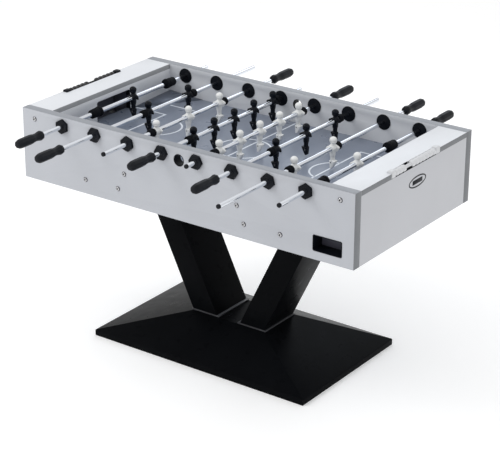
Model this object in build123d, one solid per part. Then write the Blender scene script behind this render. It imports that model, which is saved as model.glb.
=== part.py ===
"""Foosball table on a V-shaped pedestal, modelled piece by piece in millimetres.

Frame: the origin is on the floor under the middle of the table, +X runs along the
length of the playfield, +Y towards the back and +Z up. Rods are numbered 1 to 8
from -X to +X. Each sub-part is written as its own STEP file in parts/.
"""
import os

from build123d import *

# ---------------------------------------------------------------- cabinet
TABLE_LENGTH = 1430.0
TABLE_WIDTH = 755.0
TOP_Z = 880.0                 # top face of the side panels and end boards
BOTTOM_Z = 612.0              # lower edge of the cabinet
SIDE_THICK = 36.0             # long side panels
END_THICK = 20.0              # end panels and goal walls
BOARD_THICK = 19.0            # white boards over the two ends
BOARD_INNER_X = 602.0         # inner edge of an end board, in line with the goal wall
FLOOR_THICK = 12.0            # bottom panel and playfield
FIELD_Z = 765.0               # playing surface

HALF_L = TABLE_LENGTH / 2
HALF_W = TABLE_WIDTH / 2
INNER_W = HALF_W - SIDE_THICK             # inner face of a side panel
END_INNER_X = HALF_L - END_THICK          # inner face of an end panel
GOAL_BACK_X = BOARD_INNER_X + END_THICK   # outer face of a goal wall
BOARD_Z = TOP_Z - BOARD_THICK             # underside of the end boards

GOAL_HALF_WIDTH = 97.0
GOAL_TOP_Z = 843.0
GOAL_CORNER = 10.0
RAMP_RISE = 10.0              # height of the playfield's raised corners
RAMP_ALONG_SIDE_X = 440.0     # where a corner ramp starts along the side panel
RAMP_ALONG_END_Y = 100.0      # and along the goal wall

BALL_HOLE_Z = 835.0
BALL_HOLE_R = 19.5
LINER_R = 21.0
LINER_LIP_R = 22.0
LINER_LIP = 1.0

# ---------------------------------------------------------------- rods
ROD_Z = 846.5
ROD_PITCH = 150.0
ROD_R = 8.0
ROD_WALL = 2.0
FIT = 0.08                    # radial running clearance of a rod in its bush
GAP = 0.3                     # clearance between pieces that turn or slide past each other
BUSH_R = 15.0
FLANGE_R = 29.0
FLANGE_THICK = 4.0
NUT_FLATS = 48.5
NUT_THICK = 10.0
FLANGE_Y = INNER_W - FLANGE_THICK         # face that a bumper meets

# Distances from the middle of a rod, by the number of men on it.
TUBE_REACH = {1: 456.0, 2: 540.0, 3: 474.0, 5: 423.0}      # tip of the steel tube
GRIP_START = {1: 508.0, 2: 596.0, 3: 528.0, 5: 469.0}      # near end of the handle
HANDLE_LENGTH = 131.0
# Outline of a handle: distance from its near end and radius.
HANDLE_PROFILE = ((0, 11), (4, 15.5), (11, 17.5), (18, 17), (32, 14.3), (40, 14.5), (54, 17),
                  (112, 17.3), (125, 15), (HANDLE_LENGTH, 10.5))
ROD_IN_HANDLE = 106.0
CAP_LENGTH = 8.5
PLUG_LENGTH = 16.0
TIP_SOLID = 15.0              # closed end of an uncapped rod

MAN_HALF_WIDTH = 14.0         # half of the hub that grips the rod
HUB_R = 14.0
HEAD_R = 12.9
HEAD_Z = 28.0                 # middle of a player's head above the rod
FOOT_TIP_Z = -73.5
BUMPER_LENGTH = 24.0
BUMPER_R = 15.0
STOP_OUTER = 242.0            # outer face of a goalkeeper's stop collar from the rod's middle
STOP_RING_R = 19.0            # ring at the goalkeeper's side of the collar
# Outline of a stop collar: distance from its outer face and radius.
STOP_PROFILE = ((0.0, 15.0), (2.0, 16.6), (35.0, 17.8), (36.0, 16.5), (37.5, 16.5),
                (38.5, STOP_RING_R), (48.0, STOP_RING_R), (50.0, 17.0))

# team, places of the men along the rod, and how far the rod is pushed at rest
ROD_LAYOUT = (
    ("black", (0.0,), 22.0),
    ("black", (-119.0, 119.0), 45.0),
    ("white", (-187.0, 0.0, 187.0), -31.0),
    ("black", (-242.0, -121.0, 0.0, 121.0, 242.0), 47.0),
    ("white", (-242.0, -121.0, 0.0, 121.0, 242.0), -6.0),
    ("black", (-187.0, 0.0, 187.0), 67.0),
    ("white", (-119.0, 119.0), -110.0),
    ("white", (0.0,), -71.0),
)
NUT_TURNS = (0.0, 25.0, 12.0, 30.0, 26.0, 28.0, 16.0, 4.0)

# ---------------------------------------------------------------- base and legs
BASE_LENGTH = 945.0
BASE_WIDTH = 594.0
BASE_RIM = 23.0
BASE_TOP_Z = 116.0
PLATEAU_HALF_L = 160.0
PLATEAU_HALF_W = 94.5
BASE_WALL = 3.0
BASE_PLATE = 5.0

LEG_INNER_X = 50.0            # at the plateau
LEG_OUTER_X = 160.0
LEG_SLOPE = 0.484             # sideways run per unit of height
LEG_HALF_DEPTH = 94.0
LEG_WALL = 5.0
FOOT_PLATE = 6.0
HEAD_PLATE = 8.0
HEAD_PLATE_X = (262.0, 424.0)
HEAD_PLATE_HALF_W = 118.0
FOOT_PLATE_X = (42.0, 168.0)
BOLT_R = 4.0
BOLT_HEAD_R = 7.5
BOLT_HEAD = 5.5
FOOT_BOLTS = ((85.0, 60.0), (135.0, 60.0))
HEAD_BOLTS = ((276.0, 106.0), (410.0, 106.0))
FOOT_BOLT_TOP = 132.0
HEAD_BOLT_TOP = 660.0

# ---------------------------------------------------------------- framing and fasteners
BEAM_X = 349.5                # leg-mount beams across the cabinet
BEAM_HALF_WIDTH = 100.0
BEAM_TOP_Z = 690.0
BEAM_SCREW_Z = 666.0
BEAM_SCREW_STEP = 75.0
BATTEN_X = 244.5              # battens under the playfield
BATTEN_HALF_WIDTH = 20.0
BATTEN_DEPTH = 50.0
BATTEN_SCREW_Z = 728.0
CLEAT_X = 658.0               # cleats under the end boards
CLEAT_HALF_LENGTH = 34.0
CLEAT_SIZE = 20.0
CLEAT_DEPTH = 30.0
SCREW_R = 3.0
SCREW_LENGTH = 60.0
SCREW_HEAD_R = 9.5
SCREW_HEAD = 5.0

# ---------------------------------------------------------------- ball return, at the +X end
WALL = 3.0                    # plastic wall of the goal boxes, chutes and cups
GOAL_BOX_HALF_W = 103.0
GOAL_BOX_BACK_X = 691.0
GOAL_FLOOR_HIGH_Z = 758.0
GOAL_FLOOR_LOW_Z = 745.0
DROP_Y = -60.0                # where the goal box floor ends and the ball drops
CHUTE_X = (625.0, 668.0)
CHUTE_START_Y = -55.0
CHUTE_HIGH_Z = 700.0
CHUTE_LOW_Z = 650.0
CHUTE_WALL_HEIGHT = 40.0
CUP_X = (554.0, 669.5)
CUP_Z = (643.0, 701.0)
CUP_BACK_Y = -322.0
CUP_CORNER = 6.0

# ---------------------------------------------------------------- score counters
RAIL_X = (694.5, 717.0)       # each rack sits in a notch in the outer edge of an end board
RAIL_HALF_LENGTH = 157.0
RAIL_BLOCK = 27.0             # length of the block at each end of a rack
RAIL_BLOCK_TOP_Z = 887.0
RAIL_BLOCK_ROUND = 6.0
RAIL_WALL = 1.2               # upright wall along the notch
BEAD_X = 708.4
BEAD_Z = 873.5
BEAD_R = 12.0
BEAD_ROUND = 3.2
BEAD_LENGTH = 22.2
BEAD_TUBE_R = 6.0             # the tube that the beads slide along
BEAD_BORE_R = 6.35
BEADS_PER_SIDE = 10
LEFT_FRONT_BEADS = 5
RIGHT_FRONT_BEADS = 3


def block(x_range, y_range, z_range):
    """A box between two corners, given as ranges along X, Y and Z."""
    size = [high - low for low, high in (x_range, y_range, z_range)]
    centre = [(high + low) / 2 for low, high in (x_range, y_range, z_range)]
    return Pos(*centre) * Box(*size)


def along_y(x, z, y_start, y_end, radius):
    """A cylinder parallel to Y."""
    middle = (y_start + y_end) / 2
    return Pos(x, middle, z) * Rot(90, 0, 0) * Cylinder(radius, abs(y_end - y_start))


def upright(x, y, z_start, z_end, radius):
    """A cylinder parallel to Z."""
    return Pos(x, y, (z_start + z_end) / 2) * Cylinder(radius, z_end - z_start)


def frustum(z_low, half_low, z_high, half_high):
    """A solid between two centred rectangles at different heights."""
    low = Pos(0, 0, z_low) * Rectangle(2 * half_low[0], 2 * half_low[1])
    high = Pos(0, 0, z_high) * Rectangle(2 * half_high[0], 2 * half_high[1])
    return loft([low, high])


def extrude_xz(points, y_low, y_high):
    """A prism along Y with its outline given in X and Z."""
    outline = Polyline(*[(x, y_low, z) for x, z in points], close=True)
    return extrude(make_face(outline), amount=y_high - y_low, dir=(0, 1, 0))


def extrude_yz(points, x_low, x_high):
    """A prism along X with its outline given in Y and Z."""
    outline = Polyline(*[(x_low, y, z) for y, z in points], close=True)
    return extrude(make_face(outline), amount=x_high - x_low, dir=(1, 0, 0))


def cut(shape, cutters):
    """Take each cutter out of a shape in turn."""
    for cutter in cutters:
        shape -= cutter
    return shape


def half_turn(shape):
    """The same piece at the other end of the table, turned about the vertical axis."""
    return Rot(0, 0, 180) * shape


def mirror_x(shape):
    return mirror(shape, about=Plane.YZ)


def rod_x(number):
    return ROD_PITCH * (number - 4.5)


def save(name, *shapes):
    """Write one node: a single solid, or a group of separate ones."""
    solids = [solid for shape in shapes for solid in shape.solids()]
    result = solids[0] if len(solids) == 1 else Compound(children=solids)
    result.label = name
    export_step(result, f"parts/{name}.step")


# ================================================================ fasteners
SCREW_SPOTS = [(sx * x, z) for sx in (-1, 1) for x, z in (
    (CLEAT_X, ROD_Z),
    (BEAM_X - BEAM_SCREW_STEP, BEAM_SCREW_Z),
    (BEAM_X + BEAM_SCREW_STEP, BEAM_SCREW_Z),
    (BATTEN_X, BATTEN_SCREW_Z),
)]


def screw_shanks():
    """The shanks of all panel screws, also used to drill their holes."""
    return [
        along_y(x, z, side * HALF_W, side * (HALF_W - SCREW_LENGTH), SCREW_R)
        for x, z in SCREW_SPOTS for side in (-1, 1)
    ]


def panel_screws():
    """Screws with a domed head that hold the framing to the side panels."""
    dome_r = (SCREW_HEAD_R ** 2 + SCREW_HEAD ** 2) / (2 * SCREW_HEAD)
    screws = []
    for x, z in SCREW_SPOTS:
        for side in (-1, 1):
            ball = Pos(x, side * (HALF_W + SCREW_HEAD - dome_r), z) * Sphere(dome_r)
            disc = along_y(x, z, side * HALF_W, side * (HALF_W + SCREW_HEAD), SCREW_HEAD_R + 1)
            shank = along_y(x, z, side * (HALF_W + 1), side * (HALF_W - SCREW_LENGTH), SCREW_R)
            screws.append((ball & disc) + shank)
    return screws


def bolt_spots(pairs):
    return [(sx * x, sy * y) for sx in (-1, 1) for sy in (-1, 1) for x, y in pairs]


def bolt(x, y, z_seat, z_top):
    """A hexagon-head bolt pointing up, its head under z_seat."""
    hexagon = Pos(x, y, z_seat - BOLT_HEAD) * RegularPolygon(BOLT_HEAD_R, 6)
    return extrude(hexagon, amount=BOLT_HEAD) + upright(x, y, z_seat - 1, z_top, BOLT_R)


def frame_bolts():
    foot = [bolt(x, y, BASE_TOP_Z - BASE_WALL, FOOT_BOLT_TOP) for x, y in bolt_spots(FOOT_BOLTS)]
    head = [bolt(x, y, BOTTOM_Z - HEAD_PLATE, HEAD_BOLT_TOP) for x, y in bolt_spots(HEAD_BOLTS)]
    return foot + head


def foot_bolt_holes():
    return [upright(x, y, BASE_TOP_Z - 10, FOOT_BOLT_TOP, BOLT_R) for x, y in bolt_spots(FOOT_BOLTS)]


def head_bolt_holes():
    low = BOTTOM_Z - HEAD_PLATE
    return [upright(x, y, low - 1, HEAD_BOLT_TOP, BOLT_R) for x, y in bolt_spots(HEAD_BOLTS)]


# ================================================================ cabinet
def cup_opening():
    """The window of the ball-return cup at the front of the +X end."""
    face = Rectangle(CUP_X[1] - CUP_X[0], CUP_Z[1] - CUP_Z[0])
    rounded = fillet(face.vertices(), CUP_CORNER)
    centre = (sum(CUP_X) / 2, -HALF_W, sum(CUP_Z) / 2)
    placed = Plane(origin=centre, x_dir=(1, 0, 0), z_dir=(0, 1, 0)) * rounded
    return extrude(placed, amount=SIDE_THICK)


def side_panel_front():
    panel = block((-HALF_L, HALF_L), (-HALF_W, -INNER_W), (BOTTOM_Z, TOP_Z))
    bores = [along_y(rod_x(k), ROD_Z, -HALF_W, -INNER_W, BUSH_R) for k in range(1, 9)]
    ball_hole = along_y(0, BALL_HOLE_Z, -HALF_W, -INNER_W, LINER_R)
    return cut(panel, bores + [ball_hole, cup_opening()] + screw_shanks())


def end_panel():
    return block((END_INNER_X, HALF_L), (-INNER_W, INNER_W), (BOTTOM_Z, BOARD_Z))


def top_board():
    """The white board over one end, with a notch in its outer edge for the score counter."""
    board = block((BOARD_INNER_X, HALF_L), (-INNER_W, INNER_W), (BOARD_Z, TOP_Z))
    return board - block((RAIL_X[0], HALF_L), (-RAIL_HALF_LENGTH, RAIL_HALF_LENGTH), (BOARD_Z, TOP_Z))


def goal_wall():
    """The wall at the end of the playfield, with the goal mouth cut in its lower edge."""
    wall = block((BOARD_INNER_X, GOAL_BACK_X), (-INNER_W, INNER_W), (FIELD_Z, BOARD_Z))
    half, corner = GOAL_HALF_WIDTH, GOAL_CORNER
    mouth = block((BOARD_INNER_X, GOAL_BACK_X), (-half, half), (FIELD_Z, GOAL_TOP_Z))
    top_edges = mouth.edges().filter_by(Axis.X).sort_by(Axis.Z)[-2:]
    return wall - fillet(top_edges, corner)


def playfield():
    return block((-GOAL_BACK_X, GOAL_BACK_X), (-INNER_W, INNER_W), (FIELD_Z - FLOOR_THICK, FIELD_Z))


def corner_ramps():
    """Four low wedges that keep the ball from stopping in a corner."""
    corner = (BOARD_INNER_X, INNER_W, FIELD_Z)
    peak = (BOARD_INNER_X, INNER_W, FIELD_Z + RAMP_RISE)
    side = (RAMP_ALONG_SIDE_X, INNER_W, FIELD_Z)
    end = (BOARD_INNER_X, RAMP_ALONG_END_Y, FIELD_Z)
    faces = [
        make_face(Polyline(*points, close=True))
        for points in ((corner, side, end), (corner, peak, side), (corner, end, peak), (peak, side, end))
    ]
    ramp = Solid(Shell(faces))
    ramps = [ramp, mirror_x(ramp)]
    return ramps + [mirror(shape, about=Plane.XZ) for shape in ramps]


def bottom_panel():
    panel = block((-END_INNER_X, END_INNER_X), (-INNER_W, INNER_W), (BOTTOM_Z, BOTTOM_Z + FLOOR_THICK))
    return cut(panel, head_bolt_holes())


def leg_beams():
    """Two wide beams across the cabinet that carry the legs."""
    beams = []
    for side in (-1, 1):
        x_range = sorted((side * (BEAM_X - BEAM_HALF_WIDTH), side * (BEAM_X + BEAM_HALF_WIDTH)))
        beam = block(x_range, (-INNER_W, INNER_W), (BOTTOM_Z + FLOOR_THICK, BEAM_TOP_Z))
        beams.append(cut(beam, head_bolt_holes() + screw_shanks()))
    return beams


def battens_and_cleats():
    """Battens under the playfield and cleats in the corners under the end boards."""
    field_under = FIELD_Z - FLOOR_THICK
    pieces = []
    for side in (-1, 1):
        x_range = (side * BATTEN_X - BATTEN_HALF_WIDTH, side * BATTEN_X + BATTEN_HALF_WIDTH)
        pieces.append(block(x_range, (-INNER_W, INNER_W), (field_under - BATTEN_DEPTH, field_under)))
        x_range = (side * CLEAT_X - CLEAT_HALF_LENGTH, side * CLEAT_X + CLEAT_HALF_LENGTH)
        for back in (-1, 1):
            y_range = sorted((back * (INNER_W - CLEAT_SIZE), back * INNER_W))
            pieces.append(block(x_range, y_range, (BOARD_Z - CLEAT_DEPTH, BOARD_Z)))
    return [cut(piece, screw_shanks()) for piece in pieces]


# ================================================================ goal boxes and ball return
def goal_box():
    """A bin behind the goal mouth whose floor slopes to a drop at one side."""
    half = GOAL_BOX_HALF_W
    x_in, x_back = GOAL_BACK_X, GOAL_BOX_BACK_X
    z_low = GOAL_FLOOR_LOW_Z - WALL
    outside = block((x_in, x_back), (-half, half), (z_low, BOARD_Z))
    inside = block((x_in, x_back - WALL), (-half + WALL, half - WALL), (z_low, BOARD_Z))
    high_y = half - WALL
    floor_points = (
        (high_y, GOAL_FLOOR_HIGH_Z), (high_y, GOAL_FLOOR_HIGH_Z - WALL),
        (DROP_Y, z_low), (DROP_Y, GOAL_FLOOR_LOW_Z),
    )
    # The floor is let into the bin's walls by half their thickness.
    floor = extrude_yz(floor_points, x_in, x_back - WALL / 2)
    return cut(outside - inside + floor, [playfield()])


def ball_chute():
    """A sloping trough from under the goal box to the ball-return cup."""
    y_start, y_end = CHUTE_START_Y, CUP_BACK_Y
    rise = CHUTE_WALL_HEIGHT
    outside = extrude_yz((
        (y_start, CHUTE_HIGH_Z - WALL), (y_start, CHUTE_HIGH_Z + rise),
        (y_end, CHUTE_LOW_Z + rise), (y_end, CHUTE_LOW_Z - WALL),
    ), *CHUTE_X)
    slope = (CHUTE_HIGH_Z - CHUTE_LOW_Z) / (y_start - y_end)
    inner_start = y_start - WALL
    inner_high = CHUTE_HIGH_Z - slope * WALL
    inside = extrude_yz((
        (inner_start, inner_high), (inner_start, CHUTE_HIGH_Z + 2 * rise),
        (y_end - 1, CHUTE_LOW_Z + 2 * rise), (y_end - 1, CHUTE_LOW_Z - slope),
    ), CHUTE_X[0] + WALL, CHUTE_X[1] - WALL)
    return outside - inside


def return_cup():
    """The lined recess where a ball is picked up; the chute enters beside its back wall."""
    depth = CUP_BACK_Y + HALF_W
    face = Rectangle(CUP_X[1] - CUP_X[0], CUP_Z[1] - CUP_Z[0])
    centre = (sum(CUP_X) / 2, -HALF_W, sum(CUP_Z) / 2)
    plane = Plane(origin=centre, x_dir=(1, 0, 0), z_dir=(0, 1, 0))
    outside = extrude(plane * fillet(face.vertices(), CUP_CORNER), amount=depth)
    opening = offset(face, amount=-WALL)
    inner = fillet(opening.vertices(), CUP_CORNER - WALL)
    inside = extrude(plane * inner, amount=depth - WALL)
    chute_mouth = block((CHUTE_X[0], CUP_X[1] - WALL), (CUP_BACK_Y - WALL, CUP_BACK_Y),
                        (CUP_Z[0] + WALL, CUP_Z[1] - WALL))
    return outside - inside - chute_mouth


def ball_liner():
    """A tube that lines the hole where the ball is put in, with a lip outside."""
    tube = along_y(0, BALL_HOLE_Z, -HALF_W, -INNER_W, LINER_R)
    lip = along_y(0, BALL_HOLE_Z, -HALF_W - LINER_LIP, -HALF_W, LINER_LIP_R)
    return tube + lip - along_y(0, BALL_HOLE_Z, -HALF_W - LINER_LIP, -INNER_W, BALL_HOLE_R)


# ================================================================ rod bearings
def bush(number, side):
    """A plastic bush: round flange inside, barrel through the side panel."""
    x = rod_x(number)
    outer_y = HALF_W + NUT_THICK
    flange = along_y(x, ROD_Z, side * FLANGE_Y, side * INNER_W, FLANGE_R)
    barrel = along_y(x, ROD_Z, side * FLANGE_Y, side * outer_y, BUSH_R)
    return flange + barrel - along_y(x, ROD_Z, side * FLANGE_Y, side * outer_y, ROD_R + FIT)


def bush_nut(number, side):
    """The hexagon nut that clamps a bush from outside."""
    plane = Plane(origin=(rod_x(number), side * HALF_W, ROD_Z), x_dir=(0, 0, 1), z_dir=(0, side, 0))
    turn = NUT_TURNS[number - 1]
    hexagon = plane * RegularPolygon(NUT_FLATS / 2, 6, major_radius=False, rotation=turn)
    nut = extrude(hexagon, amount=NUT_THICK)
    bore = along_y(rod_x(number), ROD_Z, side * HALF_W, side * (HALF_W + NUT_THICK), BUSH_R)
    return nut - bore


# ================================================================ rods and players
def grip_side(number):
    """-1 if the handle is at the front, which is where the black team stands."""
    return -1 if ROD_LAYOUT[number - 1][0] == "black" else 1


def stations(number, *distances):
    """Distances from the rod's middle towards the handle, as places along Y."""
    shift = ROD_LAYOUT[number - 1][2]
    return [shift + grip_side(number) * distance for distance in distances]


def men_count(number):
    return len(ROD_LAYOUT[number - 1][1])


def rod_tube(number):
    """A steel tube; an uncapped tip is closed."""
    capped = grip_side(number) > 0
    tip = -TUBE_REACH[men_count(number)]
    grip_end = GRIP_START[men_count(number)] + ROD_IN_HANDLE
    bore_start = tip if capped else tip + TIP_SOLID
    y_tip, y_end, y_bore = stations(number, tip, grip_end, bore_start)
    x = rod_x(number)
    return along_y(x, ROD_Z, y_tip, y_end, ROD_R) - along_y(x, ROD_Z, y_bore, y_end, ROD_R - ROD_WALL)


def end_cap(number):
    """A plug in the end of the rod, flush with the tube so that it can enter the bush."""
    seat = -TUBE_REACH[men_count(number)]
    y_tip, y_seat, y_plug = stations(number, seat - CAP_LENGTH, seat, seat + PLUG_LENGTH)
    x = rod_x(number)
    return along_y(x, ROD_Z, y_tip, y_seat, ROD_R) + along_y(x, ROD_Z, y_seat, y_plug, ROD_R - ROD_WALL)


def handle(number):
    """A turned grip with a bulb at the rod side, a waist and a rounded end."""
    start = GRIP_START[men_count(number)]
    shift = ROD_LAYOUT[number - 1][2]
    side = grip_side(number)
    closed_profile = ((0, 0), *HANDLE_PROFILE, (HANDLE_LENGTH, 0))
    points = [(rod_x(number) + radius, shift + side * (start + step), ROD_Z)
              for step, radius in closed_profile]
    outline = make_face(Polyline(*points, close=True))
    grip = revolve(outline, Axis((rod_x(number), 0, ROD_Z), (0, 1, 0)))
    y_start, y_end = stations(number, start, start + ROD_IN_HANDLE)
    return grip - along_y(rod_x(number), ROD_Z, y_start, y_end, ROD_R)


def slab(z, x_low, x_high, y_size):
    """A rectangle at a height, used as a section of a player."""
    return Pos((x_low + x_high) / 2, 0, z) * Rectangle(x_high - x_low, y_size)


def player():
    """One player about its rod axis at the origin, facing +X with the foot down."""
    hub = along_y(0, 0, -MAN_HALF_WIDTH, MAN_HALF_WIDTH, HUB_R)
    chest = loft([slab(-8, -15, 14, 24), slab(6, -23, 17, 27), slab(14, -12, 11, 20)])
    neck = upright(0, 0, 12, HEAD_Z, 6)
    head = Pos(0, 0, HEAD_Z) * Sphere(HEAD_R)
    legs = loft([slab(-8, -11, 11, 22), slab(-42, -7, 7, 17)])
    ankle = loft([slab(-38, -7, 7, 17), slab(-44, -18, 8, 20)])
    foot = loft([slab(-44, -18, 8, 20), slab(FOOT_TIP_Z, -5, 4, 18)])
    body = hub + chest + neck + head + legs + ankle + foot
    return body - along_y(0, 0, -MAN_HALF_WIDTH, MAN_HALF_WIDTH, ROD_R)


def players(number):
    """The men of one rod; the black team faces +X and the white team -X."""
    team, places, shift = ROD_LAYOUT[number - 1]
    man = player() if team == "black" else half_turn(player())
    return [Pos(rod_x(number), shift + place, ROD_Z) * man for place in places]


def stop_collar(number, side):
    """A goalkeeper's long collar: a ring nearest the man, a groove and a slightly tapering body."""
    outer_y = ROD_LAYOUT[number - 1][2] + side * STOP_OUTER
    x = rod_x(number)
    profile = [(x + radius, outer_y - side * step, ROD_Z) for step, radius in STOP_PROFILE]
    ends = [(x + ROD_R + FIT, y, ROD_Z) for y in (profile[-1][1], profile[0][1])]
    outline = make_face(Polyline(*profile, *ends, close=True))
    return revolve(outline, Axis((x, 0, ROD_Z), (0, 1, 0)))


def bumper(number, side):
    """A plain rubber ring outside the outermost man."""
    places, shift = ROD_LAYOUT[number - 1][1:]
    near = places[-1] + MAN_HALF_WIDTH + GAP
    y_near, y_far = shift + side * near, shift + side * (near + BUMPER_LENGTH)
    ring = along_y(rod_x(number), ROD_Z, y_near, y_far, BUMPER_R)
    ring = fillet(ring.edges().filter_by(GeomType.CIRCLE), 2.0)
    return ring - along_y(rod_x(number), ROD_Z, y_near, y_far, ROD_R + FIT)


def bumpers(number):
    ring = stop_collar if men_count(number) == 1 else bumper
    return [ring(number, side) for side in (-1, 1)]


# ================================================================ base and legs
def base_shell():
    """A folded sheet cover: upright rim, four slopes and a flat plateau."""
    half = (BASE_LENGTH / 2, BASE_WIDTH / 2)
    top = (PLATEAU_HALF_L, PLATEAU_HALF_W)
    rim = block((-half[0], half[0]), (-half[1], half[1]), (0, BASE_RIM))
    outside = rim + frustum(BASE_RIM, half, BASE_TOP_Z, top)
    in_half = [value - BASE_WALL for value in half]
    in_top = [value - BASE_WALL for value in top]
    in_rim = block((-in_half[0], in_half[0]), (-in_half[1], in_half[1]), (0, BASE_RIM - 1))
    inside = in_rim + frustum(BASE_RIM - 1, in_half, BASE_TOP_Z - BASE_WALL, in_top)
    return cut(outside - inside, foot_bolt_holes())


def base_plate():
    half_l = BASE_LENGTH / 2 - BASE_WALL
    half_w = BASE_WIDTH / 2 - BASE_WALL
    return block((-half_l, half_l), (-half_w, half_w), (0, BASE_PLATE))


def leg():
    """One hollow leg that leans outwards, between its foot plate and head plate."""
    z_low = BASE_TOP_Z + FOOT_PLATE
    z_high = BOTTOM_Z - HEAD_PLATE

    def lean(x, z):
        return x + LEG_SLOPE * (z - BASE_TOP_Z)

    def section(x_in, x_out):
        return ((lean(x_in, z_low), z_low), (lean(x_out, z_low), z_low),
                (lean(x_out, z_high), z_high), (lean(x_in, z_high), z_high))

    wall_x = LEG_WALL * (1 + LEG_SLOPE ** 2) ** 0.5
    depth = LEG_HALF_DEPTH
    outside = extrude_xz(section(LEG_INNER_X, LEG_OUTER_X), -depth, depth)
    inside = extrude_xz(section(LEG_INNER_X + wall_x, LEG_OUTER_X - wall_x),
                        -depth + LEG_WALL, depth - LEG_WALL)
    return outside - inside


def leg_plates():
    """Foot and head plates of both legs."""
    foot_z = (BASE_TOP_Z, BASE_TOP_Z + FOOT_PLATE)
    head_z = (BOTTOM_Z - HEAD_PLATE, BOTTOM_Z)
    foot = block(FOOT_PLATE_X, (-PLATEAU_HALF_W, PLATEAU_HALF_W), foot_z)
    head = block(HEAD_PLATE_X, (-HEAD_PLATE_HALF_W, HEAD_PLATE_HALF_W), head_z)
    foot = cut(foot, foot_bolt_holes())
    head = cut(head, head_bolt_holes())
    return [foot, head, half_turn(foot), half_turn(head)]


# ================================================================ score counters
def score_rail():
    """A rack in the notch of the +X end board: inner wall, rounded end blocks and tube."""
    span = (-RAIL_HALF_LENGTH, RAIL_HALF_LENGTH)
    rail = block((RAIL_X[0], RAIL_X[0] + RAIL_WALL), span, (BOARD_Z, TOP_Z))
    for side in (-1, 1):
        y_range = sorted((side * (RAIL_HALF_LENGTH - RAIL_BLOCK), side * RAIL_HALF_LENGTH))
        end_block = block(RAIL_X, y_range, (BOARD_Z, RAIL_BLOCK_TOP_Z))
        top_edges = end_block.edges().filter_by(Axis.X).sort_by(Axis.Z)[-2:]
        rail += fillet(top_edges, RAIL_BLOCK_ROUND)
    return rail + along_y(BEAD_X, BEAD_Z, -RAIL_HALF_LENGTH + 1, RAIL_HALF_LENGTH - 1, BEAD_TUBE_R)


def beads(side, start_y, count):
    """A row of beads on the tube, side by side."""
    row = []
    for index in range(count):
        y_low = start_y + index * BEAD_LENGTH
        bead = along_y(side * BEAD_X, BEAD_Z, y_low, y_low + BEAD_LENGTH, BEAD_R)
        bead = fillet(bead.edges().filter_by(GeomType.CIRCLE), BEAD_ROUND)
        row.append(bead - along_y(side * BEAD_X, BEAD_Z, y_low, y_low + BEAD_LENGTH, BEAD_BORE_R))
    return row


def save_score_counters():
    rail = score_rail()
    save("score_rails", rail, half_turn(rail))
    y_front = -(RAIL_HALF_LENGTH - RAIL_BLOCK) + GAP
    y_back = RAIL_HALF_LENGTH - RAIL_BLOCK - GAP
    for name, side, front_count in (("left", -1, LEFT_FRONT_BEADS), ("right", 1, RIGHT_FRONT_BEADS)):
        back_count = BEADS_PER_SIDE - front_count
        save(f"score_beads_{name}_front", *beads(side, y_front, front_count))
        save(f"score_beads_{name}_back", *beads(side, y_back - back_count * BEAD_LENGTH, back_count))


def save_cabinet():
    front = side_panel_front()
    save("side_panel_front", front)
    save("side_panel_back", half_turn(front))
    save("end_panels", end_panel(), half_turn(end_panel()))
    save("top_boards", top_board(), half_turn(top_board()))
    save("goal_walls", goal_wall(), half_turn(goal_wall()))
    save("playfield", playfield())
    save("corner_ramps", *corner_ramps())
    save("bottom_panel", bottom_panel())
    save("leg_beams", *leg_beams())
    save("battens_and_cleats", *battens_and_cleats())
    for name, piece in (("goal_boxes", goal_box()), ("ball_chutes", ball_chute()),
                        ("return_cups", return_cup()), ("ball_liners", ball_liner())):
        save(name, piece, half_turn(piece))
    save("panel_screws", *panel_screws())


def save_rods():
    spots = [(number, side) for number in range(1, 9) for side in (-1, 1)]
    save("bearing_bushes", *[bush(number, side) for number, side in spots])
    save("bearing_nuts", *[bush_nut(number, side) for number, side in spots])
    for number in range(1, 9):
        save(f"rod_{number}", rod_tube(number))
        save(f"men_{number}", *players(number))
        save(f"bumpers_{number}", *bumpers(number))
        if grip_side(number) < 0:
            save(f"handle_{number}", handle(number))
        else:
            save(f"handle_and_cap_{number}", handle(number), end_cap(number))


def save_base():
    save("base_shell", base_shell())
    save("base_plate", base_plate())
    save("leg_right", leg())
    save("leg_left", half_turn(leg()))
    save("leg_plates", *leg_plates())
    save("frame_bolts", *frame_bolts())


os.makedirs("parts", exist_ok=True)
save_cabinet()
save_rods()
save_base()
save_score_counters()
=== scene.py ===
"""The look of a foosball table on a V-shaped pedestal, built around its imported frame.

Lengths in the tables below are millimetres and become metres through MM. Places come from
the boxes of the CAD nodes. +X runs along the playfield, +Y to the back and +Z up.
"""

import math

import bmesh
import bpy
from mathutils import Matrix, Vector


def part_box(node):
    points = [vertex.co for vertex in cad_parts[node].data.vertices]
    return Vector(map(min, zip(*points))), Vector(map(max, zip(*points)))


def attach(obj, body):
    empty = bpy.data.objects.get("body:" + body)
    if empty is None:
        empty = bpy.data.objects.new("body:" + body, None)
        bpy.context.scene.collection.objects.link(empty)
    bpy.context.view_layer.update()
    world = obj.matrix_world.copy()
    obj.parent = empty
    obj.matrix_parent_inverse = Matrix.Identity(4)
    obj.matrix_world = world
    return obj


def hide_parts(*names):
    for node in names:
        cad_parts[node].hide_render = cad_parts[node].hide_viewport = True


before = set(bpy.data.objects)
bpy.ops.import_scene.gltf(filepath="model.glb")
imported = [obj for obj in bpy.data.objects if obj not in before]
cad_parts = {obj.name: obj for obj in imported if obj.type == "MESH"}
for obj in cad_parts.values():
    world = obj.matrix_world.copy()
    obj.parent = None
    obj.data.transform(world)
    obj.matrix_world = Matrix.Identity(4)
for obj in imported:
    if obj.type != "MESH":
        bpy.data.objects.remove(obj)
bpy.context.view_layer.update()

MM = 0.001
ROD_MEN = (1, 2, 3, 5, 5, 3, 2, 1)
BLACK_RODS = (1, 2, 4, 6)
NUT_TURNS = (0, 25, 12, 30, 26, 28, 16, 4)
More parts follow.
